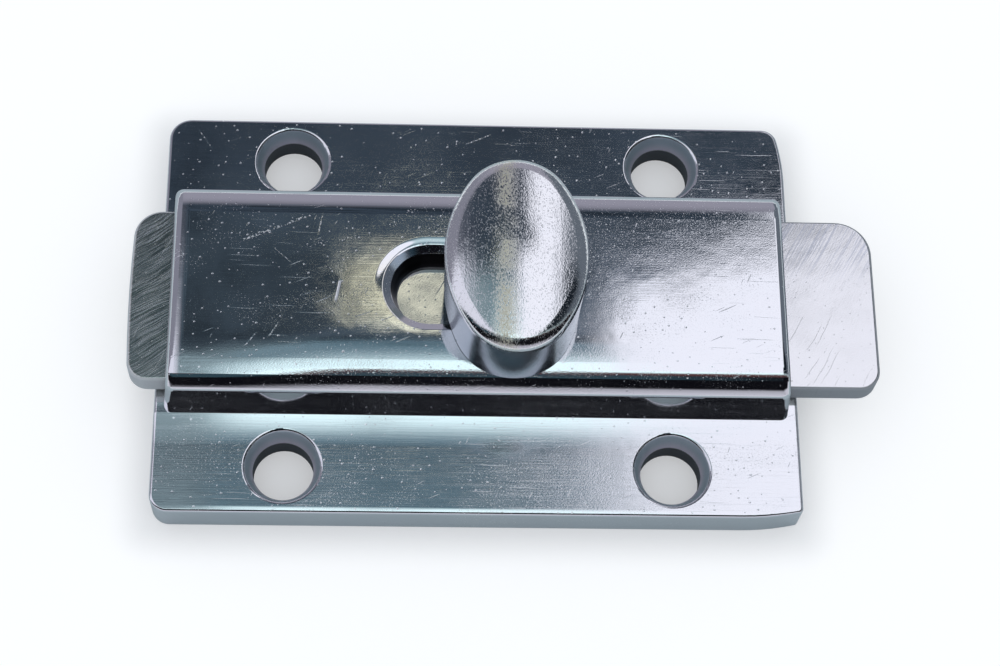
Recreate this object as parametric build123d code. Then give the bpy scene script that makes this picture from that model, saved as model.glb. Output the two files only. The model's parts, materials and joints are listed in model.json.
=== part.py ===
from build123d import *
import os
from math import atan2, cos, degrees, radians, sin, sqrt, tan

# A surface slide latch for a toilet partition door, in millimetres.
# X runs along the bolt's travel, with the nose at +X, Y across it, and Z out of the door.
# The origin is the centre of the four fixing holes, on the face that lies on the door.

# The bolt, and the way that it travels
travel = 13.4
knob_x = 4.25
bar_width = 24.4
bar_thickness = 3.6
bar_edge_round = 0.4
nose_back_round = 4.8
nose_front_round = 2.8
tail_back_round = 3.8
tail_front_round = 2.6
tail_bulge = 0.4
nose_flush_gap = 0.5
tail_reach = 0.8

# The tunnel in the cover that the bolt runs through
bar_side_gap = 0.35
bar_lift = 0.8
bar_roof_gap = 0.15

# The cover over the bolt: drafted walls, then three arcs, each wider than the last, to a flat top
cover_length = 82.2
cover_wall = 2.45
cover_draft = 4.5
cover_end_draft = 5.5
roof_thickness = 3.55
crown_radius = 8.0
crown_turn = 16
shoulder_radius = 3.6
shoulder_turn = 45
edge_radius = 1.2
cover_end_round = 1.1

# The slot in the cover's roof
slot_side_gap = 0.2
slot_end_gap = 0.15
slot_draft = 17
slot_bevel_width = 1.0
slot_bevel_depth = 0.55
slot_lip_round = 0.4

# The flange with its four countersunk fixing holes
flange_thickness = 5.2
flange_end_ledge = 1.35
flange_edge_round = 0.4
hole_diameter = 7.94
hole_spacing_x = 50.8
hole_inner_land = 2.275
hole_outer_land = 1.425
countersink_diameter = 9.9
countersink_depth = 2.15
countersink_round = 0.5
corner_back_left = 3.0
corner_back_right = 2.2
corner_front_left = 2.4
corner_front_right = 0.6

# Both right corners of the flange are buffed away in a long shallow arc
buffed_back_run = 8.0
buffed_back_drop = 1.1
buffed_front_run = 7.8
buffed_front_drop = 0.9

# The thumb knob: a four-centre oval at its base and its top, with a crown that is rounder across X.
# Its rim is a wide shoulder arc that is cut off at its outer part by a tight edge arc.
knob_gap = 0.2
knob_height = 12.1
knob_base_width = 18.0
knob_base_length = 25.8
knob_base_narrowing = 1.1
knob_flare_width = 0.5
knob_flare_length = 1.2
knob_top_narrowing = 2.15
knob_crown_radius_x = 40.0
knob_crown_radius_y = 90.0
knob_shoulder_radius = 2.6
knob_shoulder_trim = 0.5
knob_edge_radius = 0.85
boss_diameter = 8.0
spigot_round = 0.4
spigot_shortfall = 0.2
spigot_gap = 0.1
knob_thread_diameter = 4.25
knob_thread_spare = 1.6

# The bowed leaf that presses the bolt against the roof, so that it stays where it is pushed
leaf_width = 8.0
leaf_thickness = 0.3
leaf_flat = 10.0
leaf_tip_round = 1.5
leaf_landing = 5.0
leaf_tip = 2.2
leaf_floor_gap = 0.08
leaf_hole_diameter = 4.5

# The fixing screw of the knob with its two washers
washer_diameter = 9.5
washer_bore = 4.4
washer_thickness = 0.8
lock_washer_diameter = 7.3
lock_washer_bore = 4.4
lock_washer_thickness = 1.0
lock_washer_split = 0.6
lock_washer_split_lean = 20
screw_diameter = 4.15
screw_length = 12.7
screw_point_chamfer = 0.6
screw_head_diameter = 8.0
screw_head_height = 2.2
screw_head_round = 1.2
recess_span = 4.4
recess_width = 0.95
recess_depth = 1.3
window_gap = 0.9

# Heights from the door outwards
bar_bottom = flange_thickness + bar_lift
bar_top = bar_bottom + bar_thickness
roof_bottom = bar_top + bar_roof_gap
cover_top = roof_bottom + roof_thickness
knob_bottom = cover_top + knob_gap
leaf_bottom = bar_bottom - leaf_thickness
washer_bottom = leaf_bottom - washer_thickness
lock_washer_bottom = washer_bottom - lock_washer_thickness

# Sizes across and along the door
tunnel_width = bar_width + 2 * bar_side_gap
cover_foot_width = tunnel_width + 2 * cover_wall
ledge_width = hole_inner_land + countersink_diameter + hole_outer_land
flange_width = cover_foot_width + 2 * ledge_width
flange_length = cover_length + 2 * flange_end_ledge
hole_spacing_y = flange_width - 2 * hole_outer_land - countersink_diameter
nose_x = flange_length / 2 - nose_flush_gap + travel / 2 + knob_x
tail_x = -flange_length / 2 - tail_reach - travel / 2 + knob_x
slot_throat_width = boss_diameter + 2 * slot_side_gap
slot_throat_length = travel + boss_diameter + 2 * slot_end_gap
window_width = washer_diameter + 2 * window_gap
window_length = window_width + travel
leaf_half_length = window_length / 2 + travel / 2 + leaf_landing
knob_top_width = knob_base_width + knob_flare_width
knob_top_length = knob_base_length + knob_flare_length
spigot_width = boss_diameter / sqrt(2)

# Cuts run this much past the faces that they open
past = 1.0


def rounded_vertex(outline, corner, radius):
    """The flat outline with its vertex nearest to the corner rounded."""
    return fillet(outline.vertices().sort_by_distance(corner)[0], radius)


def arc_run(radius, start, end):
    """How far sideways an arc goes while it turns down from the start angle to the end angle."""
    return radius * (sin(radians(end)) - sin(radians(start)))


def arc_drop(radius, start, end):
    """How far down the same arc goes."""
    return radius * (cos(radians(start)) - cos(radians(end)))


def ring(outer, bore, bottom, thickness):
    """A flat ring on the knob's axis, from the height bottom upwards."""
    face = Circle(outer / 2) - Circle(bore / 2)
    return Pos(knob_x, 0, bottom) * extrude(face, thickness)


def flange_blank():
    """The flange's plate, with its buffed right corners."""
    right = flange_length / 2
    back = flange_width / 2
    front_arc = TangentArc(
        (right - buffed_front_run, -back),
        (right, -back + buffed_front_drop),
        tangent=(1, 0),
    )
    back_arc = TangentArc(
        (right, back - buffed_back_run),
        (right - buffed_back_drop, back),
        tangent=(0, 1),
    )
    left_side = Polyline(back_arc @ 1, (-right, back), (-right, -back), front_arc @ 0)
    outline = make_face([front_arc, Line(front_arc @ 1, back_arc @ 0), back_arc, left_side])
    outline = rounded_vertex(outline, (-right, back, 0), corner_back_left)
    outline = rounded_vertex(outline, (right, back, 0), corner_back_right)
    outline = rounded_vertex(outline, (-right, -back, 0), corner_front_left)
    outline = rounded_vertex(outline, (right, -back, 0), corner_front_right)
    plate = extrude(outline, flange_thickness)
    return fillet(plate.faces().sort_by(Axis.Z)[-1].edges(), flange_edge_round)


def cover_section():
    """Cross-section of the cover in Y and Z, from the middle of the flange up."""
    wall_turn = 90 - cover_draft
    foot_z = flange_thickness / 2
    arcs = [
        (crown_radius, 0, crown_turn),
        (shoulder_radius, crown_turn, shoulder_turn),
        (edge_radius, shoulder_turn, wall_turn),
    ]
    wall_height = cover_top - flange_thickness - sum(arc_drop(*arc) for arc in arcs)
    wall_run = wall_height * tan(radians(cover_draft))
    half_flat = cover_foot_width / 2 - wall_run - sum(arc_run(*arc) for arc in arcs)
    foot_y = cover_foot_width / 2 + (flange_thickness - foot_z) * tan(radians(cover_draft))
    top = Line((0, cover_top), (half_flat, cover_top))
    crown = JernArc(top @ 1, (1, 0), crown_radius, -crown_turn)
    shoulder = JernArc(crown @ 1, crown % 1, shoulder_radius, crown_turn - shoulder_turn)
    edge = JernArc(shoulder @ 1, shoulder % 1, edge_radius, shoulder_turn - wall_turn)
    wall = Polyline(edge @ 1, (foot_y, foot_z), (0, foot_z))
    half = Curve() + [top, crown, shoulder, edge, wall]
    return make_face(half + mirror(half, Plane.YZ))


def cover_side():
    """Side view of the cover in X and Z: a trapezium with drafted ends."""
    lean = tan(radians(cover_end_draft))
    foot_x = cover_length / 2 + flange_thickness * lean
    top_z = cover_top + past
    top_x = foot_x - top_z * lean
    return make_face(Polyline((-foot_x, 0), (foot_x, 0), (top_x, top_z), (-top_x, top_z), close=True))


def cover_blank():
    """The solid cover, with its ends rounded over the walls and the top."""
    block = extrude(Plane.YZ * cover_section(), cover_length, both=True)
    block &= extrude(Plane.XZ * cover_side(), cover_foot_width, both=True)
    by_x = block.faces().sort_by(Axis.X)
    ends = by_x[0].edges() + by_x[-1].edges()
    rim = ends.filter_by(lambda edge: edge.center().Z > flange_thickness / 2 + past)
    return fillet(rim, cover_end_round)


def roof_slot():
    """The cutter for the slot in the roof: it widens upwards and ends in a bevel."""
    bevel_bottom = cover_top - slot_bevel_depth
    widening = tan(radians(slot_draft)) * (bevel_bottom - roof_bottom)
    bevel_angle = degrees(atan2(slot_bevel_width, slot_bevel_depth))
    below = past * tan(radians(slot_draft))
    throat = SlotOverall(slot_throat_length - 2 * below, slot_throat_width - 2 * below)
    mouth = SlotOverall(slot_throat_length + 2 * widening, slot_throat_width + 2 * widening)
    shaft = extrude(throat, bevel_bottom - roof_bottom + past, taper=-slot_draft)
    bevel = extrude(mouth, slot_bevel_depth + past, taper=-bevel_angle)
    return Pos(0, 0, roof_bottom - past) * shaft + Pos(0, 0, bevel_bottom) * bevel


def fixing_hole():
    """The cutter for one fixing hole with its countersink."""
    countersink_bottom = flange_thickness - countersink_depth
    bore = Pos(0, 0, -past) * extrude(Circle(hole_diameter / 2), countersink_bottom + 2 * past)
    cone = Cone(
        hole_diameter / 2,
        countersink_diameter / 2,
        countersink_depth,
        align=(Align.CENTER, Align.CENTER, Align.MIN),
    )
    return bore + Pos(0, 0, countersink_bottom) * cone


def housing():
    """The casting: flange and cover in one piece, with the tunnel, slot, window and holes."""
    body = flange_blank() + cover_blank()
    tunnel = Box(
        flange_length + 2 * past,
        tunnel_width,
        roof_bottom - flange_thickness,
        align=(Align.CENTER, Align.CENTER, Align.MIN),
    )
    body -= Pos(0, 0, flange_thickness) * tunnel
    body -= roof_slot()
    body -= Pos(0, 0, -past) * extrude(SlotOverall(window_length, window_width), flange_thickness + 2 * past)
    for place in GridLocations(hole_spacing_x, hole_spacing_y, 2, 2):
        body -= place * fixing_hole()
    circles = body.edges().filter_by(GeomType.CIRCLE)
    rims = circles.filter_by(lambda edge: abs(edge.radius - countersink_diameter / 2) < 0.01)
    body = fillet(rims.filter_by(lambda edge: abs(edge.center().Y) > cover_foot_width / 2), countersink_round)
    roof = body.faces().filter_by(Axis.Z).sort_by(Axis.Z)[-1]
    return fillet(roof.inner_wires()[0].edges(), slot_lip_round)


def slide_bar():
    """The flat bolt, with the square hole that keys the knob."""
    side = bar_width / 2
    tail = ThreePointArc((tail_x, side), (tail_x - tail_bulge, 0), (tail_x, -side))
    rest = Polyline(tail @ 1, (nose_x, -side), (nose_x, side), tail @ 0)
    outline = make_face([tail, rest])
    outline = rounded_vertex(outline, (nose_x, side, 0), nose_back_round)
    outline = rounded_vertex(outline, (nose_x, -side, 0), nose_front_round)
    outline = rounded_vertex(outline, (tail_x, side, 0), tail_back_round)
    outline = rounded_vertex(outline, (tail_x, -side, 0), tail_front_round)
    bar = Pos(0, 0, bar_bottom) * extrude(outline, bar_thickness)
    flats = bar.faces().filter_by(Axis.Z)
    bar = fillet(flats.edges(), bar_edge_round)
    hole_width = spigot_width + 2 * spigot_gap
    hole = extrude(RectangleRounded(hole_width, hole_width, spigot_round), bar_thickness + 2 * past)
    return bar - Pos(knob_x, 0, bar_bottom - past) * hole


def oval(width, length, narrowing):
    """A four-centre oval, long in Y, whose end arcs are the narrowing less than half its width in radius."""
    a = width / 2
    b = length / 2
    end_radius = a - narrowing
    side_radius = (a**2 + (b - end_radius) ** 2 - end_radius**2) / (2 * (a - end_radius))
    spread = sqrt((side_radius - a) ** 2 + (b - end_radius) ** 2)
    join_x = end_radius * (side_radius - a) / spread
    join_y = (b - end_radius) * (1 + end_radius / spread)
    right = ThreePointArc((join_x, -join_y), (a, 0), (join_x, join_y))
    back = ThreePointArc((join_x, join_y), (0, b), (-join_x, join_y))
    left = ThreePointArc((-join_x, join_y), (-a, 0), (-join_x, -join_y))
    front = ThreePointArc((-join_x, -join_y), (0, -b), (join_x, -join_y))
    return make_face([right, back, left, front])


def crown_barrel():
    """A barrel along Y with the crown as its top, whose highest point is at the origin."""
    half = knob_top_length / 2 + past
    sag = knob_crown_radius_y - sqrt(knob_crown_radius_y**2 - half**2)
    arc = ThreePointArc((-half, -sag), (0, 0), (half, -sag))
    below = Polyline(arc @ 1, (half, -knob_crown_radius_x), (-half, -knob_crown_radius_x), arc @ 0)
    outline = Plane.YZ * make_face([arc, below])
    return revolve(outline, axis=Axis((0, 0, -knob_crown_radius_x), (0, 1, 0)))


def knob_blank(proud):
    """The head of the knob without its crown, all round by this much proud of its real size."""
    wider = 2 * proud
    base = oval(knob_base_width + wider, knob_base_length + wider, knob_base_narrowing)
    top = oval(knob_top_width + wider, knob_top_length + wider, knob_top_narrowing)
    return loft([Pos(0, 0, knob_bottom) * base, Pos(0, 0, knob_bottom + knob_height) * top])


def knob_head():
    """The head of the knob: crown, shoulder arc, edge arc and flared wall."""
    head = knob_blank(knob_shoulder_trim) & Pos(0, 0, knob_bottom + knob_height) * crown_barrel()
    crown = head.faces().sort_by(Axis.Z)[-1]
    head = fillet(crown.edges(), knob_shoulder_radius) & knob_blank(0)
    middle = knob_bottom + knob_height / 2
    walls = head.faces().filter_by(lambda face: face.center().Z < middle)
    rim = walls.edges().filter_by(lambda edge: edge.center().Z > middle)
    return fillet(rim, knob_edge_radius)


def knob():
    """The crowned thumb knob with its round boss, its square spigot and its tapped hole."""
    head = knob_head()
    boss = Pos(0, 0, bar_top) * extrude(Circle(boss_diameter / 2), knob_bottom - bar_top + past)
    spigot_bottom = bar_bottom + spigot_shortfall
    square = RectangleRounded(spigot_width, spigot_width, spigot_round)
    spigot = Pos(0, 0, spigot_bottom) * extrude(square, bar_top - spigot_bottom)
    thread_top = lock_washer_bottom + screw_length + knob_thread_spare
    thread = extrude(Circle(knob_thread_diameter / 2), thread_top - spigot_bottom + past)
    return Pos(knob_x, 0, 0) * (head + boss + spigot - Pos(0, 0, spigot_bottom - past) * thread)


def leaf_arm():
    """Centre line of one arm of the leaf in X and Z: out, down to the floor and up at the tip."""
    arm_run = leaf_half_length - leaf_tip - leaf_flat / 2
    drop = bar_lift - leaf_thickness - leaf_floor_gap
    slope = 2 * degrees(atan2(drop, arm_run))
    bend_radius = arm_run / sin(radians(slope)) / 2
    flat = Line((0, 0), (leaf_flat / 2, 0))
    down = JernArc(flat @ 1, (1, 0), bend_radius, -slope)
    level = JernArc(down @ 1, down % 1, bend_radius, slope)
    up = JernArc(level @ 1, (1, 0), leaf_tip / sin(radians(slope)), slope)
    return Curve() + [flat, down, level, up]


def friction_spring():
    """The leaf, clamped under the bolt by the screw, with its two feet over the tunnel's floor."""
    arm = leaf_arm()
    section = Plane(origin=(0, 0, 0), x_dir=(0, 1, 0), z_dir=(1, 0, 0)) * Rectangle(leaf_width, leaf_thickness)
    half = sweep(section, path=Plane.XZ * arm)
    tip = half.faces().sort_by(Axis.X)[-1]
    corners = tip.edges().filter_by(lambda edge: abs(edge.length - leaf_thickness) < 0.01)
    half = fillet(corners, leaf_tip_round)
    leaf = Pos(knob_x, 0, leaf_bottom + leaf_thickness / 2) * (half + mirror(half, Plane.YZ))
    hole = extrude(Circle(leaf_hole_diameter / 2), leaf_thickness + 2 * past)
    return leaf - Pos(knob_x, 0, leaf_bottom - past) * hole


def flat_washer():
    """The flat washer that spreads the screw's load on the leaf."""
    return ring(washer_diameter, washer_bore, washer_bottom, washer_thickness)


def lock_washer():
    """The split lock washer, pressed flat, with its leaning split."""
    washer = ring(lock_washer_diameter, lock_washer_bore, lock_washer_bottom, lock_washer_thickness)
    middle = lock_washer_bottom + lock_washer_thickness / 2
    cutter = Box(lock_washer_diameter, lock_washer_split, 3 * lock_washer_thickness)
    lean = Rot(lock_washer_split_lean, 0, 0) * cutter
    return washer - Pos(knob_x + lock_washer_diameter / 2, 0, middle) * lean


def knob_screw():
    """The pan head screw, put in from the door's side, with a cross recess."""
    head_bottom = lock_washer_bottom - screw_head_height
    head = extrude(Circle(screw_head_diameter / 2), screw_head_height)
    head = fillet(head.edges().sort_by(Axis.Z)[0], screw_head_round)
    cross = Rectangle(recess_span, recess_width) + Rectangle(recess_width, recess_span)
    head -= Pos(0, 0, -past) * extrude(cross, recess_depth + past)
    shank = extrude(Circle(screw_diameter / 2), screw_length)
    shank = chamfer(shank.edges().sort_by(Axis.Z)[-1], screw_point_chamfer)
    return Pos(knob_x, 0, head_bottom) * (head + Pos(0, 0, screw_head_height) * shank)


os.makedirs("parts", exist_ok=True)
pieces = {
    "housing": housing(),
    "slide_bar": slide_bar(),
    "knob": knob(),
    "friction_spring": friction_spring(),
    "flat_washer": flat_washer(),
    "lock_washer": lock_washer(),
    "knob_screw": knob_screw(),
}
for name, piece in pieces.items():
    export_step(piece, f"parts/{name}.step")
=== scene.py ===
import json
import math
from types import SimpleNamespace

import bpy
from mathutils import Matrix, Vector


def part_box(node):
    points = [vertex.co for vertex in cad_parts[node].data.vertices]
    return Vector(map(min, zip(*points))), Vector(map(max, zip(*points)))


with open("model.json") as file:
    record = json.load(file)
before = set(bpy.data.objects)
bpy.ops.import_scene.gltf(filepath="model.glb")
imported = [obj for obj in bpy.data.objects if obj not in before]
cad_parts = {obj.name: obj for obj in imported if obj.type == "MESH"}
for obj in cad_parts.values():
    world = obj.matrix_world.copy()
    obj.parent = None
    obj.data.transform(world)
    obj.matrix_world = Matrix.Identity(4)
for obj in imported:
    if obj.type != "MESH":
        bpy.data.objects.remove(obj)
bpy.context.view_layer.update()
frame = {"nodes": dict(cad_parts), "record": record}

scene = bpy.context.scene
MM = 0.001
MICRON = 1e-6


# Sizes of the latch in millimetres. Those that the frame holds are read from it. Its middle is at
# zero in X and Y, so a side's or an end's place is also its distance from the middle.


def corners(node):
    """A CAD node's lowest and highest corner, in millimetres."""
    low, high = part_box(node)
    return low / MM, high / MM


CASTING_LOW, CASTING_HIGH = corners("housing")
WASHER_LOW, WASHER_HIGH = corners("flat_washer")
KNOB_TOP = corners("knob")[1].z
MOUNTS = {mount["name"]: mount["dims"] for mount in frame["record"]["mounts"]}
HOLE_X = MOUNTS["door_bolts"]["spacing_x_mm"] / 2
HOLE_Y = MOUNTS["door_bolts"]["spacing_y_mm"] / 2
FLANGE_TOP = 5.2
SINK_RADIUS = 4.95
SINK_FLOOR = 3.05
TUNNEL_SIDE = 12.7
TUNNEL_TOP = 9.8
COVER_FOOT = 15.0
SLOT_STRAIGHT = 6.7
SLOT_LIP_RADIUS = 6.2


# Shader building: a thin layer over the node tree, so that each material reads as expressions.


class Graph:
    """One node tree. Each method adds a node or a few, and returns the output socket."""

    def __init__(self, tree):
        self.tree = tree
        tree.nodes.clear()

    def add(self, kind, **settings):
        node = self.tree.nodes.new(kind)
        for name, value in settings.items():
            setattr(node, name, value)
        return node

    def put(self, socket, value):
        """Links a socket or sets a number, vector or colour."""
        if isinstance(value, bpy.types.NodeSocket):
            self.tree.links.new(value, socket)
            return
        if socket.type == "RGBA":
            value = (*value, 1.0)
        socket.default_value = value

    def math(self, operation, *values, clamp=False):
        node = self.add("ShaderNodeMath", operation=operation, use_clamp=clamp)
        for socket, value in zip(node.inputs, values):
            self.put(socket, value)
        return node.outputs[0]

    def joined(self, operation, values):
        total = values[0]
        for value in values[1:]:
            total = self.math(operation, total, value)
        return total

    def mul(self, *values):
        return self.joined("MULTIPLY", values)

    def plus(self, *values):
        return self.joined("ADD", values)

    def most(self, *values):
        return self.joined("MAXIMUM", values)

    def minus(self, a, b):
        return self.math("SUBTRACT", a, b)

    def absolute(self, value):
        return self.math("ABSOLUTE", value)

    def past(self, value, edge):
        """How far a value lies outside the span from -edge to edge, and zero within it."""
        return self.most(self.minus(self.absolute(value), edge), 0.0)

    def length(self, a, b):
        return self.math("SQRT", self.plus(self.mul(a, a), self.mul(b, b)))

    def vector(self, operation, *values):
        node = self.add("ShaderNodeVectorMath", operation=operation)
        for socket, value in zip(node.inputs, values):
            self.put(socket, value)
        return node.outputs["Value" if operation == "LENGTH" else "Vector"]

    def scaled(self, vector, factor):
        node = self.add("ShaderNodeVectorMath", operation="SCALE")
        self.put(node.inputs["Vector"], vector)
        self.put(node.inputs["Scale"], factor)
        return node.outputs["Vector"]

    def split(self, vector):
        node = self.add("ShaderNodeSeparateXYZ")
        self.put(node.inputs[0], vector)
        return node.outputs

    def step(self, value, low, high, to_low=0.0, to_high=1.0):
        """A smooth step of the value, from to_low at low to to_high at high."""
        node = self.add("ShaderNodeMapRange", interpolation_type="SMOOTHSTEP")
        for socket, v in zip(node.inputs, (value, low, high, to_low, to_high)):
            self.put(socket, v)
        return node.outputs[0]

    def ease(self, share, to_none, to_all):
        """A number that goes from to_none to to_all as a share goes from 0 to 1."""
        return self.step(share, 0, 1, to_none, to_all)

    def within(self, value, low, high, soft):
        """One between two values and nothing outside them, with soft ends."""
        starts = self.step(value, low - soft, low + soft)
        return self.mul(starts, self.step(value, high + soft, high - soft))

    def blend(self, factor, a, b):
        """A colour between a and b."""
        node = self.add("ShaderNodeMix", data_type="RGBA")
        self.put(node.inputs["Factor"], factor)
        colours = [socket for socket in node.inputs if socket.type == "RGBA"]
        self.put(colours[0], a)
        self.put(colours[1], b)
        return [socket for socket in node.outputs if socket.type == "RGBA"][0]

    def millimetres(self):
        """Where a point lies in the object's frame, in millimetres."""
        coords = self.add("ShaderNodeTexCoord").outputs["Object"]
        return self.vector("MULTIPLY", coords, (1 / MM, 1 / MM, 1 / MM))

    def upward(self):
        """How far the surface faces up, from -1 to 1."""
        return self.split(self.add("ShaderNodeTexCoord").outputs["Normal"])[2]

    def turned(self, where, angle, along, across, up=1.0, shift=(0, 0, 0)):
        """A place turned about Z by so many degrees, then divided by a length, a width and a height."""
        node = self.add("ShaderNodeMapping", vector_type="POINT")
        self.put(node.inputs["Vector"], where)
        self.put(node.inputs["Rotation"], (0, 0, math.radians(-angle)))
        divided = self.vector("DIVIDE", node.outputs[0], (along, across, up))
        return self.vector("ADD", divided, shift)

    def wandering(self, where, scale, reach):
        """A place that is shifted smoothly in X and Y by up to half the reach, to bend straight marks."""
        node = self.add("ShaderNodeTexNoise")
        self.put(node.inputs["Vector"], where)
        self.put(node.inputs["Scale"], scale)
        centred = self.vector("SUBTRACT", node.outputs["Color"], (0.5, 0.5, 0.5))
        return self.vector("ADD", where, self.vector("MULTIPLY", centred, (reach, reach, 0)))

    def noise(self, where, scale=1.0, detail=2.0, rough=0.5):
        node = self.add("ShaderNodeTexNoise")
        self.put(node.inputs["Vector"], where)
        self.put(node.inputs["Scale"], scale)
        self.put(node.inputs["Detail"], detail)
        self.put(node.inputs["Roughness"], rough)
        return node.outputs["Fac"]

    def ripple(self, where, scale=1.0, detail=2.0, rough=0.5):
        """Noise on both sides of zero."""
        return self.minus(self.noise(where, scale, detail, rough), 0.5)

    def dots(self, where, radius, share):
        """Scattered soft dots, one at most in each unit cell of the plane, in that share of the cells."""
        node = self.add("ShaderNodeTexVoronoi", feature="F1", voronoi_dimensions="2D")
        self.put(node.inputs["Vector"], where)
        self.put(node.inputs["Scale"], 1.0)
        random = self.add("ShaderNodeSeparateColor")
        self.put(random.inputs[0], node.outputs["Color"])
        chosen = self.math("LESS_THAN", random.outputs[0], share)
        size = self.mul(self.plus(random.outputs[1], 0.5), radius)
        distance = self.math("DIVIDE", node.outputs["Distance"], size)
        return self.mul(chosen, self.step(distance, 1.0, 0.45))

    def mark(self, x, y, start, end, width):
        """A straight soft mark between two points of the XY plane."""
        length = math.dist(start, end)
        ux = (end[0] - start[0]) / length
        uy = (end[1] - start[1]) / length
        dx = self.minus(x, start[0])
        dy = self.minus(y, start[1])
        along = self.plus(self.mul(dx, ux), self.mul(dy, uy))
        across = self.absolute(self.minus(self.mul(dy, ux), self.mul(dx, uy)))
        return self.mul(self.step(across, width, width * 0.4), self.within(along, 0.0, length, 0.35))

    def bump(self, microns):
        """A normal from a height in micrometres."""
        node = self.add("ShaderNodeBump")
        node.inputs["Strength"].default_value = 1.0
        node.inputs["Distance"].default_value = MICRON
        self.put(node.inputs["Height"], microns)
        return node.outputs[0]


# Camera: the photograph's place, lean and roll, fitted to the flange's edges and holes.

TILT = 0.41149
YAW = 0.11519
ROLL = 0.12019
TARGET = Vector((3.21571, -0.73701, 0.0)) * MM
DISTANCE = 309.08392 * MM
FOCAL_PIXELS = 2270.0
FRAME_PIXELS = 1000.0
SENSOR_WIDTH = 36.0


def make_camera():
    elevation = math.pi / 2 - TILT
    level = math.cos(elevation)
    ahead = Vector((level * math.sin(YAW), level * math.cos(YAW), -math.sin(elevation)))
    right = Vector((math.cos(YAW), -math.sin(YAW), 0.0))
    up = right.cross(ahead)
    local_x = right * math.cos(ROLL) + up * math.sin(ROLL)
    local_y = up * math.cos(ROLL) - right * math.sin(ROLL)
    turn = Matrix((local_x, local_y, -ahead)).transposed().to_4x4()
    lens = bpy.data.cameras.new("camera")
    lens.sensor_width = SENSOR_WIDTH
    lens.lens = SENSOR_WIDTH * FOCAL_PIXELS / FRAME_PIXELS
    lens.clip_start = 0.01
    lens.clip_end = 20.0
    camera = bpy.data.objects.new("camera", lens)
    camera.matrix_world = Matrix.Translation(TARGET - ahead * DISTANCE) @ turn
    scene.collection.objects.link(camera)
    scene.camera = camera


# The studio: what the chrome mirrors. Angles are in degrees. The angle back counts from the horizon
# at +Y over the top towards the viewer, and the angle side from straight up towards +X. A pair of
# angles holds where a part is nothing and where it is full.

ROOM_BACK = (36, 52)
LIGHTER_ROOM_BACK = (63.0, 64.2)
DUSK_BACK = (63.2, 64.4)
DUSK_SIDE = (1, 6)
HIGH_ROOM_BACK = (67.8, 71)
HIGH_ROOM_LEFT_SIDE = (-1, -5)
WINDOW_BACK = (71, 91)
WINDOW_SIDE = (-5, 1)
WINDOW_WHOLE_BACK = (98, 103)
BROWN_BACK = (105, 109)
FRONT_BACK = (109.5, 111.5)
FRONT_TEAL_SIDE = (11, 5)
BLACK_BACK = (117, 121)
LOW_FRONT_BACK = (146, 158)

WARM_BACK = (64.65, 65.15)
WARM_END_BACK = (66.55, 66.2)
WARM_SIDE = (-1.3, -1.0)
WARM_END_SIDE = (2.6, 1.8)
WARM_SLANT = 0.15

PANEL_BACK = (40, 48)
PANEL_END_BACK = (106, 101)
PANEL_EDGE_SIDE = 5.4
PANEL_END_SIDE = (24, 20)
PANEL_KINK_BACK = 65.6
PANEL_LEAN_BACK = (57, 61)
PANEL_LEAN = 2.6
PANEL_MOST_LEAN = 6.5
PANEL_SOFT_BACK = (67.8, 69.2)

FAR_RIGHT_SIDE = (20, 25)
FAR_RIGHT_DARK_BACK = (61, 70)
FAR_RIGHT_DARK_SIDE = (66, 48)
FAR_LEFT_SIDE = (-7, -26)
LEFT_PANEL_BACK = (63.5, 67.5)
LEFT_PANEL_SIDE = (-9, -16)
FAR_SIDES_END_BACK = (112, 100)

PALE_MAUVE = (0.30, 0.29, 0.35)
NIGHT = (0.031, 0.044, 0.062)
LIGHTER_NIGHT = (0.043, 0.061, 0.080)
DUSK = (0.088, 0.108, 0.140)
HIGH_ROOM = (0.112, 0.185, 0.230)
HIGH_ROOM_LEFT = (0.20, 0.27, 0.30)
WINDOW_CYAN = (0.92, 1.14, 1.18)
WINDOW_BROWN = (0.09, 0.035, 0.035)
BLACK = (0.004, 0.004, 0.006)
DARK_TEAL = (0.030, 0.060, 0.078)
LOW_FRONT = (0.56, 0.55, 0.62)
WARM_YELLOW = (1.05, 1.03, 0.82)
PANEL_WHITE = (0.93, 0.93, 1.02)
RIGHT_GREY = (0.12, 0.14, 0.17)
RIGHT_BLACK = (0.008, 0.012, 0.018)
LEFT_GREY = (0.22, 0.22, 0.27)
LEFT_PANEL = (0.72, 0.72, 0.82)
FAR_TABLE = (0.62, 0.66, 0.70)
SOFT_LIGHT = (0.80, 0.82, 0.86)
WHITE = (1.0, 1.0, 1.0)


def dark_room(g, direction, back, side):
    """The patchy dark room over the latch, lighter higher up and, low down, at the right."""
    night = g.blend(g.step(back, *LIGHTER_ROOM_BACK), NIGHT, LIGHTER_NIGHT)
    dusk = g.mul(g.step(side, *DUSK_SIDE), g.step(back, *DUSK_BACK))
    low = g.blend(dusk, night, DUSK)
    high = g.blend(g.step(side, *HIGH_ROOM_LEFT_SIDE), HIGH_ROOM, HIGH_ROOM_LEFT)
    room = g.blend(g.step(back, *HIGH_ROOM_BACK), low, high)
    patches = g.step(g.noise(direction, 30.0, 3.0, 0.65), 0.36, 0.64, 0.50, 1.45)
    return g.scaled(room, g.math("POWER", patches, g.step(back, 66, 70, 1.0, 0.6)))


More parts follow.
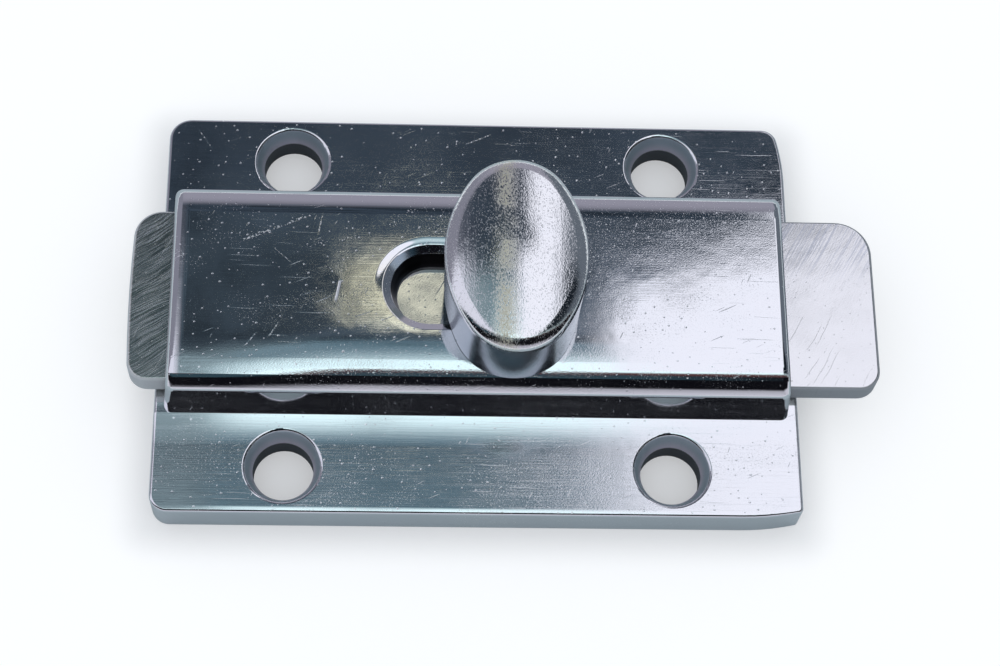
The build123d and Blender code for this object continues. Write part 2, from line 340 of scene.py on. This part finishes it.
def from_back_to_front(g, direction, back, side):
    """Pale low light behind, the dark room, a bright window above, and dark to pale in front."""
    colour = g.blend(g.step(back, *ROOM_BACK), PALE_MAUVE, dark_room(g, direction, back, side))
    wide = g.most(g.step(side, *WINDOW_SIDE, 0.02, 1.0), g.step(back, *WINDOW_WHOLE_BACK))
    colour = g.blend(g.mul(g.step(back, *WINDOW_BACK), wide), colour, WINDOW_CYAN)
    colour = g.blend(g.step(back, *BROWN_BACK), colour, WINDOW_BROWN)
    front = g.blend(g.step(side, *FRONT_TEAL_SIDE), BLACK, DARK_TEAL)
    colour = g.blend(g.step(back, *FRONT_BACK), colour, front)
    colour = g.blend(g.step(back, *BLACK_BACK), colour, BLACK)
    return g.blend(g.step(back, *LOW_FRONT_BACK), colour, LOW_FRONT)


def warm_spot(g, colour, back, side):
    """The small warm light that the cover mirrors beside its slot."""
    across = g.mul(g.step(side, *WARM_SIDE), g.step(side, *WARM_END_SIDE))
    slanted = g.minus(back, g.mul(side, WARM_SLANT))
    along = g.mul(g.step(back, *WARM_BACK), g.step(slanted, *WARM_END_BACK))
    return g.blend(g.mul(across, along), colour, WARM_YELLOW)


def right_panel(g, colour, back, side):
    """The white panel at the right. Below a kink its left edge leans to the right."""
    below_kink = g.most(g.minus(PANEL_KINK_BACK, back), 0.0)
    lean = g.math("MINIMUM", g.mul(below_kink, PANEL_LEAN), PANEL_MOST_LEAN)
    lean = g.mul(lean, g.step(back, *PANEL_LEAN_BACK, 0.62, 1.0))
    past_edge = g.minus(g.minus(side, PANEL_EDGE_SIDE), lean)
    past_edge = g.math("DIVIDE", past_edge, g.step(back, *PANEL_SOFT_BACK, 1.0, 2.2))
    height = g.mul(g.step(back, *PANEL_BACK), g.step(back, *PANEL_END_BACK))
    panel = g.mul(g.step(past_edge, -0.3, 0.3), height, g.step(side, *PANEL_END_SIDE))
    return g.blend(panel, colour, PANEL_WHITE)


def far_sides(g, colour, back, side):
    """Grey to nearly black at the far right, and grey with a light panel at the far left."""
    not_in_front = g.step(back, *FAR_SIDES_END_BACK)
    dark = g.mul(g.step(back, *FAR_RIGHT_DARK_BACK), g.step(side, *FAR_RIGHT_DARK_SIDE, 0.3, 1.0))
    right = g.mul(g.step(side, *FAR_RIGHT_SIDE), not_in_front)
    colour = g.blend(right, colour, g.blend(dark, RIGHT_GREY, RIGHT_BLACK))
    left = g.mul(g.step(side, *FAR_LEFT_SIDE), not_in_front)
    colour = g.blend(left, colour, LEFT_GREY)
    panel = g.mul(g.step(side, *LEFT_PANEL_SIDE), g.step(back, *LEFT_PANEL_BACK), not_in_front)
    return g.blend(panel, colour, LEFT_PANEL)


def make_world():
    """The studio for mirrors and glass, plain soft light for the rest, and white for the camera."""
    world = bpy.data.worlds.new("studio")
    scene.world = world
    world.use_nodes = True
    g = Graph(world.node_tree)
    direction = g.add("ShaderNodeTexCoord").outputs["Generated"]
    x, y, z = g.split(direction)
    degrees = math.degrees(1.0)
    back = g.mul(g.math("ARCTAN2", z, y), degrees)
    side = g.mul(g.math("ARCTAN2", x, g.length(y, z)), degrees)

    colour = from_back_to_front(g, direction, back, side)
    colour = warm_spot(g, colour, back, side)
    colour = right_panel(g, colour, back, side)
    colour = far_sides(g, colour, back, side)
    colour = g.blend(g.step(z, 0.04, -0.04), colour, FAR_TABLE)

    rays = g.add("ShaderNodeLightPath").outputs
    lit = g.blend(g.most(rays["Is Glossy Ray"], rays["Is Transmission Ray"]), SOFT_LIGHT, colour)
    surface = g.add("ShaderNodeBackground")
    g.put(surface.inputs["Color"], g.blend(rays["Is Camera Ray"], lit, WHITE))
    out = g.add("ShaderNodeOutputWorld")
    g.put(out.inputs["Surface"], surface.outputs[0])


# The floor: a pale table just under the latch, with painted shade near the casting.

FLOOR_HALF = 1.5
FLOOR_DROP = 0.02 * MM
PALE_GREY = (0.60, 0.62, 0.63)
PALER_GREY = (0.62, 0.64, 0.65)
MIRRORED_SHADE_TEAL = (0.09, 0.26, 0.32)
MIRRORED_SHADE_SHARE = 0.32

# Distances from the casting, in millimetres.
# Painted shade near the casting: the camera sees a weaker glow, and mirrors see teal with their glow
# starting only far out.
SHADED_TABLE = (0.0, 6.0)
MIRRORED_SHADE_TABLE = (400.0, 30.0)
GLOWING_TABLE = (60.0, 500.0)


def pale_floor():
    """Pale for the camera, with painted shade: a weaker glow under and near the casting. For mirrors it
    is teal near the latch as painted shade, and glows only further out.
    """
    material = bpy.data.materials.new("pale_floor")
    material.use_nodes = True
    g = Graph(material.node_tree)
    where = g.millimetres()
    x, y, _ = g.split(where)
    outside = g.length(g.past(x, CASTING_HIGH.x), g.past(y, CASTING_HIGH.y))
    rays = g.add("ShaderNodeLightPath").outputs
    pale = g.blend(g.noise(where, 0.02, 3.0), PALE_GREY, PALER_GREY)
    # Painted shade for mirrors: the table turns teal near the casting.
    mirrored_shade = g.mul(rays["Is Glossy Ray"], g.step(outside, *MIRRORED_SHADE_TABLE), MIRRORED_SHADE_SHARE)
    body = g.add("ShaderNodeBsdfDiffuse")
    g.put(body.inputs["Color"], g.blend(mirrored_shade, pale, MIRRORED_SHADE_TEAL))
    # Painted shade: the glow that the camera sees is weaker under and near the casting.
    seen = g.mul(rays["Is Camera Ray"], g.step(outside, *SHADED_TABLE, 0.34, 0.50))
    # Painted shade for mirrors: no glow near the latch, and full glow only far out.
    mirrored = g.mul(rays["Is Glossy Ray"], g.step(outside, *GLOWING_TABLE, 0.0, 0.45))
    glow = g.add("ShaderNodeEmission")
    g.put(glow.inputs["Color"], WHITE)
    g.put(glow.inputs["Strength"], g.plus(seen, mirrored))
    both = g.add("ShaderNodeAddShader")
    g.put(both.inputs[0], body.outputs[0])
    g.put(both.inputs[1], glow.outputs[0])
    out = g.add("ShaderNodeOutputMaterial")
    g.put(out.inputs["Surface"], both.outputs[0])
    return material


def make_floor():
    half = FLOOR_HALF
    mesh = bpy.data.meshes.new("floor")
    points = [(-half, -half, 0), (half, -half, 0), (half, half, 0), (-half, half, 0)]
    mesh.from_pydata(points, [], [(0, 1, 2, 3)])
    mesh.materials.append(pale_floor())
    floor = bpy.data.objects.new("floor", mesh)
    floor.location.z = -FLOOR_DROP
    scene.collection.objects.link(floor)


# Finishes. Heights are in micrometres and places in millimetres, so each mark has its real size.


def new_metal(name):
    material = bpy.data.materials.new(name)
    material.use_nodes = True
    g = Graph(material.node_tree)
    shader = g.add("ShaderNodeBsdfPrincipled")
    shader.inputs["Metallic"].default_value = 1.0
    out = g.add("ShaderNodeOutputMaterial")
    g.put(out.inputs["Surface"], shader.outputs[0])
    return material, g, shader


def finish(g, shader, colour, roughness, microns):
    g.put(shader.inputs["Base Color"], colour)
    g.put(shader.inputs["Roughness"], g.math("MINIMUM", roughness, 0.9))
    g.put(shader.inputs["Normal"], g.bump(microns))


# The casting: polished chrome, with the marks that the photograph shows.

CHROME = (0.86, 0.89, 0.93)
PALE_CHROME = (0.93, 0.94, 0.96)
WORN_NICKEL_AND_SHEEN = (0.97, 0.95, 0.84)
SINK_REFLECTED_LILAC = (0.95, 0.92, 1.0)
SINK_REFLECTED_TEAL = (0.66, 0.76, 0.82)
BORE_SHADE_BLACK = (0.07, 0.075, 0.08)
SLOT_WALL_SHADE_BLACK = (0.03, 0.03, 0.035)
CAST_GREY = (0.34, 0.35, 0.36)
PALE_CAST_GREY = (0.52, 0.53, 0.54)

# How far the casting's surface falls and rises, in micrometres.
COVER_FRONT_FALL = -780.0
COVER_LEFT_FALL = -150.0
FLANGE_EDGE_FALL = -90.0
SLOT_FRONT_FALL = -3.0
SLOT_BACK_FALL = -120.0
FOOT_RISE = 422.0

NICK = ((-18.8, -2.2), (-18.3, 0.6))
BROKEN_DENTS = ((-31.2, 6.3), (-21.8, 10.4))
PEPPERED_DENTS = ((-21.3, 6.1), (-16.2, 7.2))
WIDE_SCUFF = ((-26.2, -5.6), (-27.3, -7.4))
SCUFFS = (
    ((-29.0, -7.0), (-30.4, -8.9)),
    ((-20.8, 10.3), (-21.3, 7.4)),
    ((-27.2, 5.4), (-24.6, 3.0)),
    ((-1.6, 25.4), (1.9, 27.0)),
    ((-38.4, 26.8), (-36.6, 24.1)),
)


def casting_places(g):
    """Which part of the casting a point lies on. All but the coordinates and slot are shares."""
    where = g.millimetres()
    x, y, z = g.split(where)
    far_x = g.absolute(x)
    far_y = g.absolute(y)
    upward = g.upward()
    on_flange = g.step(z, FLANGE_TOP + 0.5, FLANGE_TOP + 0.1)
    on_cover = g.step(z, 10.5, 11.5)

    in_tunnel = g.mul(
        g.step(far_y, TUNNEL_SIDE + 0.3, TUNNEL_SIDE),
        g.step(z, TUNNEL_TOP + 0.4, TUNNEL_TOP),
        g.step(far_x, CASTING_HIGH.x - 0.05, CASTING_HIGH.x - 0.25),
    )
    hole = g.length(g.minus(far_x, HOLE_X), g.minus(far_y, HOLE_Y))
    in_hole = g.mul(
        g.step(hole, SINK_RADIUS + 0.03, SINK_RADIUS - 0.10),
        g.step(z, FLANGE_TOP - 0.04, FLANGE_TOP - 0.12),
    )
    slot = g.minus(g.length(g.past(x, SLOT_STRAIGHT), y), SLOT_LIP_RADIUS)

    return SimpleNamespace(
        where=where,
        x=x,
        y=y,
        z=z,
        on_flange=on_flange,
        on_cover=on_cover,
        tops=g.mul(g.plus(on_cover, on_flange), g.step(upward, 0.6, 0.85)),
        rough_cast=g.most(in_tunnel, g.step(upward, -0.3, -0.6)),
        in_hole=in_hole,
        in_bore=g.mul(in_hole, g.step(z, SINK_FLOOR + 0.10, SINK_FLOOR - 0.15)),
        # How far outside the slot's lip a point lies, in millimetres, and negative inside it.
        slot=slot,
        slot_wall=g.mul(g.step(slot, -0.6, -0.8), g.within(z, 9.9, 12.6, 0.1)),
        cover_side=g.mul(g.step(y, 0.7 - COVER_FOOT, 0.4 - COVER_FOOT), g.within(z, 6.2, 10.2, 0.5)),
        right_end=g.mul(g.step(x, CASTING_HIGH.x - 0.55, CASTING_HIGH.x - 0.15), on_flange),
        behind=g.step(y, COVER_FOOT - 2.0, COVER_FOOT + 1.0),
        by_foot=g.within(far_y, COVER_FOOT - 0.5, COVER_FOOT + 3.2, 0.4),
        # The rubbed patch beside the slot: worn, with a warm tint that is partly nickel through the
        # chrome and partly a painted sheen.
        rubbed=g.mul(g.within(x, -18.0, -9.0, 0.5), g.within(y, -4.6, 3.6, 1.5), on_cover),
    )


def casting_wear(g, at):
    """Where the plating is most worn: the cover's front and back right, and the flange's front."""
    near_front = g.mul(g.step(at.y, -6.5, -11.0), g.step(at.x, -36.0, -18.0, 0.3, 1.0))
    near_front = g.mul(near_front, g.step(at.x, 20.0, 12.0), at.on_cover)
    back_right = g.mul(g.step(at.y, 0.0, 5.0), g.step(at.x, 8.0, 14.0), at.on_cover)
    scuffed = g.mul(g.within(at.x, 0.0, 19.0, 3.0), g.step(at.y, -18.0, -22.0))
    busy = g.most(near_front, back_right, scuffed)
    cloud = g.step(g.noise(g.turned(at.where, 20, 9, 5, 9), 1.0, 3.0), 0.40, 0.62)
    cloud = g.mul(g.most(cloud, g.mul(busy, 0.9)), g.ease(at.behind, 1.0, 0.35))
    return SimpleNamespace(near_front=near_front, scuffed=scuffed, busy=busy, cloud=cloud)


def casting_scratches(g, at):
    """Fine scratches in three directions, fainter behind the cover and off the tops."""
    bent = g.wandering(at.where, 0.10, 0.8)
    diagonal = g.dots(g.turned(bent, 24, 22, 1.3), 0.05, 0.45)
    steep = g.dots(g.turned(bent, 66, 18, 2.6, 1, (0.4, 0.2, 0)), 0.03, 0.5)
    level = g.dots(g.turned(bent, -1, 30, 0.5, 1, (0.1, 0.6, 0)), 0.07, 0.4)
    scratches = g.mul(g.most(diagonal, steep, level), g.minus(1.0, at.by_foot))
    return g.mul(scratches, g.ease(at.behind, 1.0, 0.55), g.ease(at.tops, 0.08, 1.0))


def casting_dents(g, at, pepper):
    """A broken row of dents, a peppered one, and a few scuffs."""
    broken = g.step(g.noise(at.where, 3.1, 2.0), 0.5, 0.6)
    row = g.mul(g.mark(at.x, at.y, *BROKEN_DENTS, 0.22), broken)
    peppered = g.mul(g.mark(at.x, at.y, *PEPPERED_DENTS, 0.4), g.step(pepper, 0.5, 0.9))
    scuffs = g.mark(at.x, at.y, *WIDE_SCUFF, 0.12)
    for start, end in SCUFFS:
        scuffs = g.most(scuffs, g.mark(at.x, at.y, start, end, 0.10))
    scuffs = g.mul(scuffs, g.plus(0.25, g.mul(broken, 0.6)))
    return g.mul(g.most(row, peppered, scuffs), at.tops)


def casting_marks(g, at, wear):
    """Buffing lines along X, and the pits, sparkles, scratches and dents."""
    where = at.where
    pepper = g.mul(g.step(g.noise(where, 5.2, 2.0, 0.6), 0.54, 0.68), g.ease(wear.cloud, 0.30, 1.0))
    fine = g.mul(g.dots(g.turned(where, 0, 0.52, 0.47), 0.085, 0.45), wear.cloud)
    coarse = g.dots(g.turned(where, 12, 3.1, 2.9, 1, (0.3, 0.7, 0)), 0.032, 0.35)
    sparks = g.dots(g.turned(where, 31, 1.6, 1.5, 1, (0.6, 0.2, 0)), 0.07, 0.5)
    return SimpleNamespace(
        lines=g.ripple(g.turned(where, 0, 9.0, 0.16, 0.16), 1.0, 3.0, 0.6),
        pepper=pepper,
        pits=g.mul(g.most(fine, coarse), g.minus(1.0, at.by_foot), at.tops),
        sparks=g.mul(sparks, at.tops),
        scratches=casting_scratches(g, at),
        nick=g.mul(g.mark(at.x, at.y, *NICK, 0.20), at.on_cover),
        dents=casting_dents(g, at, pepper),
    )


def casting_colour(g, at, smudge, patch):
    colour = g.blend(smudge, CHROME, PALE_CHROME)
    # Partly wear and partly a painted warm sheen on the rubbed patch.
    colour = g.blend(g.mul(patch, 0.6), colour, WORN_NICKEL_AND_SHEEN)
    # Painted reflection in the countersinks: lilac low by the bore, grey-teal higher up.
    sink_height = g.step(at.z, SINK_FLOOR + 0.05, SINK_FLOOR + 1.35)
    colour = g.blend(at.in_hole, colour, g.blend(sink_height, SINK_REFLECTED_LILAC, SINK_REFLECTED_TEAL))
    # Painted shade: the bores are darkened nearly black.
    colour = g.blend(g.mul(at.in_bore, 0.9), colour, BORE_SHADE_BLACK)
    # Painted shade: the slot's inner wall is darkened nearly black.
    colour = g.blend(at.slot_wall, colour, SLOT_WALL_SHADE_BLACK)
    cast = g.blend(g.noise(at.where, 0.8, 4.0, 0.7), CAST_GREY, PALE_CAST_GREY)
    return g.blend(at.rough_cast, colour, cast)


def casting_roughness(g, at, smudge, patch, marks):
    flange_haze = g.mul(at.on_flange, g.ease(at.behind, 0.045, 0.012))
    flange_lines = g.mul(at.on_flange, g.ease(at.behind, 0.045, 0.008))
    return g.plus(
        g.step(smudge, 0.35, 0.7, 0.03, 0.06),
        flange_haze,
        g.mul(marks.pepper, 0.16),
        g.mul(marks.pits, 0.36),
        g.mul(g.step(marks.lines, 0.0, 0.16), g.plus(0.02, flange_lines)),
        g.mul(marks.scratches, 0.20),
        g.mul(patch, 0.04),
        g.mul(marks.nick, 0.4),
        g.mul(at.rough_cast, 0.30),
        g.mul(at.cover_side, 0.05),
        g.mul(at.right_end, 0.4),
        g.mul(at.in_hole, 0.48),
        g.mul(at.slot_wall, 0.3),
        g.mul(marks.dents, 0.4),
        g.mul(marks.sparks, 0.12),
    )


def casting_form(g, at):
    """The casting's slow falls and rises, which only bend what it mirrors."""
    fall = g.math("DIVIDE", g.minus(-5.0, at.y), 9.5, clamp=True)
    # The cover's top falls towards its front, least near its left end.
    depth = g.step(at.x, -38.0, -14.0, COVER_LEFT_FALL, COVER_FRONT_FALL)
    left_end = g.mul(g.step(at.x, -38.2, -41.0), g.step(at.z, 7.0, 9.5), COVER_LEFT_FALL)
    flange_edge = g.mul(g.step(at.y, CASTING_LOW.y + 0.9, CASTING_LOW.y), at.on_flange)
    # The flange rises softly towards the cover's foot.
    rise = g.math("DIVIDE", g.plus(at.y, 19.4), 4.4, clamp=True)
    lip_depth = g.mul(at.on_cover, g.step(at.y, -1.0, 4.0, SLOT_FRONT_FALL, SLOT_BACK_FALL))
    return g.plus(
        g.mul(depth, g.step(g.mul(fall, fall), 0, 1)),
        left_end,
        g.mul(flange_edge, FLANGE_EDGE_FALL),
        g.mul(rise, rise, FOOT_RISE),
        g.mul(g.step(at.slot, 1.1, -0.1), lip_depth),
    )


def casting_height(g, at, wear, marks):
    front = g.step(at.y, -10.0, -16.0)
    on_flange = g.mul(at.on_flange, g.plus(1.6, g.mul(front, 2.6)))
    line_depth = g.plus(on_flange, g.mul(at.rubbed, 0.6), 0.9)
    glitter = g.ripple(g.turned(at.where, 20, 0.24, 0.15, 0.3), 1.0, 1.5)
    glitter_depth = g.plus(g.mul(wear.near_front, 4.5), g.mul(wear.busy, 1.5), g.mul(wear.scuffed, 2.0))
    grain_depth = g.plus(
        g.mul(at.rough_cast, 13.0),
        g.ease(wear.cloud, 0.35, 1.4),
        g.mul(wear.near_front, 1.2),
    )
    return g.plus(
        g.mul(g.ripple(at.where, 0.22), 10.0),
        g.mul(marks.lines, line_depth),
        casting_form(g, at),
        g.mul(glitter, glitter_depth),
        g.mul(g.ripple(at.where, 6.5, 2.0, 0.6), grain_depth),
        g.mul(marks.pits, -4.0),
        g.mul(marks.scratches, -1.5),
        g.mul(marks.nick, -12.0),
        g.mul(marks.sparks, -11.0),
        g.mul(marks.dents, -5.0),
    )


def housing_chrome():
    material, g, shader = new_metal("housing_chrome_finish")
    at = casting_places(g)
    wear = casting_wear(g, at)
    marks = casting_marks(g, at, wear)
    smudge = g.noise(at.where, 0.12, 4.0, 0.6)
    patch = g.mul(at.rubbed, g.step(marks.lines, -0.30, 0.0))
    colour = casting_colour(g, at, smudge, patch)
    roughness = casting_roughness(g, at, smudge, patch, marks)
    finish(g, shader, colour, roughness, casting_height(g, at, wear, marks))
    return material


# The other pieces.

BAR_CHROME = (0.84, 0.85, 0.87)
PALE_BAR_CHROME = (0.91, 0.92, 0.93)
SCORED_AND_MIRRORED_BLUE = (0.60, 0.64, 0.74)
WORN_TAIL_GREY = (0.50, 0.53, 0.48)
SIDE_FACE_SHADE_GREY = (0.58, 0.62, 0.65)
NOSE_SIDE_SHADE_GREY = (0.33, 0.36, 0.39)
KNOB_CHROME = (0.88, 0.90, 0.93)
PALE_KNOB_CHROME = (0.94, 0.95, 0.96)
KNOB_GOLD_WEAR_AND_SHEEN = (0.97, 0.94, 0.74)
KNOB_WALL_SHADE_GREY = (0.38, 0.46, 0.52)
SPRING_GREY = (0.36, 0.37, 0.40)
PALE_SPRING_GREY = (0.48, 0.49, 0.52)
ZINC_GREY = (0.52, 0.53, 0.52)
WARM_ZINC = (0.66, 0.65, 0.60)

# How the knob's crown leans, in micrometres per millimetre towards +X.
KNOB_LEAN = -26.0


def bar_chrome():
    """The bolt: satin chrome with grind marks, its tail ground coarser, and its narrow faces dull and
    greyed with painted shade, darkest at the nose.
    """
    material, g, shader = new_metal("bar_chrome_finish")
    where = g.millimetres()
    x, y, _ = g.split(where)
    tail = g.step(x, -38.0, -41.0)
    rim = g.step(g.absolute(g.upward()), 0.995, 0.9)
    bent = g.wandering(where, 0.12, 2)
    ground = g.noise(g.turned(bent, 33, 7.0, 0.16, 0.3), 1.0, 3.0, 0.6)
    cross = g.ripple(g.turned(bent, 66, 14.0, 0.30, 0.3), 1.0, 3.0, 0.6)
    scratches = g.dots(g.turned(bent, 62, 30, 0.8), 0.09, 0.6)
    scored = g.step(g.noise(g.turned(where, 60, 9.0, 0.22)), 0.5, 0.62)
    scored = g.mul(scored, g.step(y, 2.0, 9.0))
    pits = g.dots(g.turned(where, 0, 1.2, 1.1), 0.08, 0.5)
    smudge = g.noise(where, 0.2, 4.0, 0.6)

    colour = g.blend(smudge, BAR_CHROME, PALE_BAR_CHROME)
    # Partly wear and partly painted reflection: scored marks on the back half, tinted blue.
    colour = g.blend(g.mul(scored, 0.6), colour, SCORED_AND_MIRRORED_BLUE)
    worn_tail = g.mul(tail, g.step(ground, 0.4, 0.6, 0.95, 0.3))
    colour = g.blend(worn_tail, colour, WORN_TAIL_GREY)
    # Painted shade: the narrow side faces are grey, darker at the nose.
    colour = g.blend(rim, colour, g.blend(g.step(x, 36.0, 43.0), SIDE_FACE_SHADE_GREY, NOSE_SIDE_SHADE_GREY))

    handled = g.within(x, -14.0, 8.0, 3.0)
    roughness = g.plus(
        g.minus(g.step(smudge, 0.35, 0.7, 0.09, 0.14), g.mul(handled, 0.02)),
        g.mul(tail, g.step(ground, 0.4, 0.6, 0.0, 0.12)),
        g.mul(scratches, 0.10),
        g.mul(pits, 0.15),
        g.mul(scored, 0.05),
        g.mul(rim, 0.42),
    )
    height = g.plus(
        g.mul(g.ripple(where, 0.25), 16.0),
        g.mul(g.minus(ground, 0.5), g.ease(tail, 1.6, 18.0)),
        g.mul(cross, 2.6),
        g.mul(g.ripple(where, 5.0, 2.0, 0.6), 1.2),
        g.mul(scratches, -1.6),
        g.mul(pits, -2.5),
    )
    g.put(shader.inputs["Metallic"], g.ease(rim, 1.0, 0.4))
    finish(g, shader, colour, roughness, height)
    return material


def knob_chrome():
    """The knob: a speckled crown with a worn band, tinted gold partly as a painted sheen, over a turned
    wall darkened with painted shade.
    """
    material, g, shader = new_metal("knob_chrome_finish")
    where = g.millimetres()
    x, _, z = g.split(where)
    crown = g.step(z, KNOB_TOP - 3.1, KNOB_TOP - 1.8)
    strokes = g.ripple(g.turned(where, 0, 0.6, 6.0, 6.0), 1.0, 3.0, 0.6)
    rings = g.ripple(g.turned(where, 0, 12, 12, 0.16), 1.0, 3.0, 0.6)
    glitter = g.ripple(g.turned(where, 12, 0.17, 0.34, 0.3), 1.0, 1.5)
    fine = g.dots(g.turned(where, 0, 0.36, 0.36), 0.14, 0.5)
    coarse = g.dots(g.turned(where, 20, 1.6, 1.5), 0.06, 0.5)
    pits = g.mul(crown, g.most(fine, coarse))
    scratches = g.mul(crown, g.dots(g.turned(where, 62, 14, 1.2), 0.055, 0.5))
    smudge = g.noise(where, 0.25, 4.0, 0.6)
    patchy = g.step(g.noise(where, 0.25), 0.35, 0.5, 0.35, 1.0)
    worn = g.mul(g.within(x, 1.7, 3.7, 1.3), g.mul(crown, patchy), g.step(glitter, -0.22, 0.04))

    colour = g.blend(smudge, KNOB_CHROME, PALE_KNOB_CHROME)
    # Partly wear and partly a painted warm sheen: the worn band on the crown is tinted gold.
    colour = g.blend(g.mul(worn, 0.9), colour, KNOB_GOLD_WEAR_AND_SHEEN)
    # Painted shade: the wall under the crown is a darker grey-teal.
    colour = g.blend(crown, KNOB_WALL_SHADE_GREY, colour)
    roughness = g.plus(
        g.step(smudge, 0.35, 0.7, 0.07, 0.12),
        g.mul(pits, 0.22),
        g.mul(scratches, 0.2),
        g.mul(g.step(glitter, 0.05, 0.16), crown, 0.2),
        g.mul(worn, 0.40),
        g.ease(crown, 0.12, 0),
    )
    height = g.plus(
        g.mul(g.ripple(where, 0.3), 8.0),
        g.mul(strokes, crown, 9.0),
        g.mul(rings, g.ease(crown, 4.0, 0.0)),
        g.mul(g.ripple(where, 7.0, 2.0, 0.6), g.ease(crown, 0.8, 3.0)),
        g.mul(glitter, crown, 9.0),
        g.mul(x, crown, KNOB_LEAN),
        g.mul(pits, -2.0),
        g.mul(scratches, -1.5),
    )
    finish(g, shader, colour, roughness, height)
    return material


def rolled_steel():
    """The leaf: dull steel with fine rolling lines along X."""
    material, g, shader = new_metal("spring_steel_finish")
    where = g.millimetres()
    rolled = g.noise(g.turned(where, 0, 14, 0.25, 0.25), 1.0, 4.0, 0.6)
    smudge = g.noise(where, 0.3, 4.0, 0.6)
    colour = g.blend(smudge, SPRING_GREY, PALE_SPRING_GREY)
    roughness = g.step(rolled, 0.35, 0.65, 0.26, 0.42)
    height = g.plus(g.mul(g.minus(rolled, 0.5), 6.0), g.mul(g.noise(where, 5.0), 1.5))
    finish(g, shader, colour, roughness, height)
    return material


def plated_steel():
    """The screw and washers: bright plating over turning marks round the screw's axis."""
    material, g, shader = new_metal("fastener_steel_finish")
    where = g.millimetres()
    middle = (WASHER_LOW + WASHER_HIGH) / 2
    centred = g.vector("SUBTRACT", where, (middle.x, middle.y, 0))
    radius = g.vector("LENGTH", g.vector("MULTIPLY", centred, (1, 1, 0)))
    height_above = g.split(where)[2]
    turning = g.math("SINE", g.plus(g.mul(radius, 26.0), g.mul(height_above, 14.0)))
    blotch = g.noise(where, 1.1, 4.0, 0.6)
    colour = g.blend(blotch, ZINC_GREY, WARM_ZINC)
    roughness = g.step(blotch, 0.35, 0.7, 0.22, 0.38)
    height = g.plus(g.mul(turning, 0.5), g.mul(g.noise(where, 4.0, 3.0), 4.0))
    finish(g, shader, colour, roughness, height)
    return material


def dress_nodes():
    fasteners = plated_steel()
    finishes = {
        "housing": housing_chrome(),
        "slide_bar": bar_chrome(),
        "knob": knob_chrome(),
        "friction_spring": rolled_steel(),
        "flat_washer": fasteners,
        "lock_washer": fasteners,
        "knob_screw": fasteners,
    }
    for name, node in frame["nodes"].items():
        for place in node.material_slots:
            place.material = finishes[name]


make_camera()
scene.view_settings.view_transform = "Standard"
make_world()
make_floor()
dress_nodes()
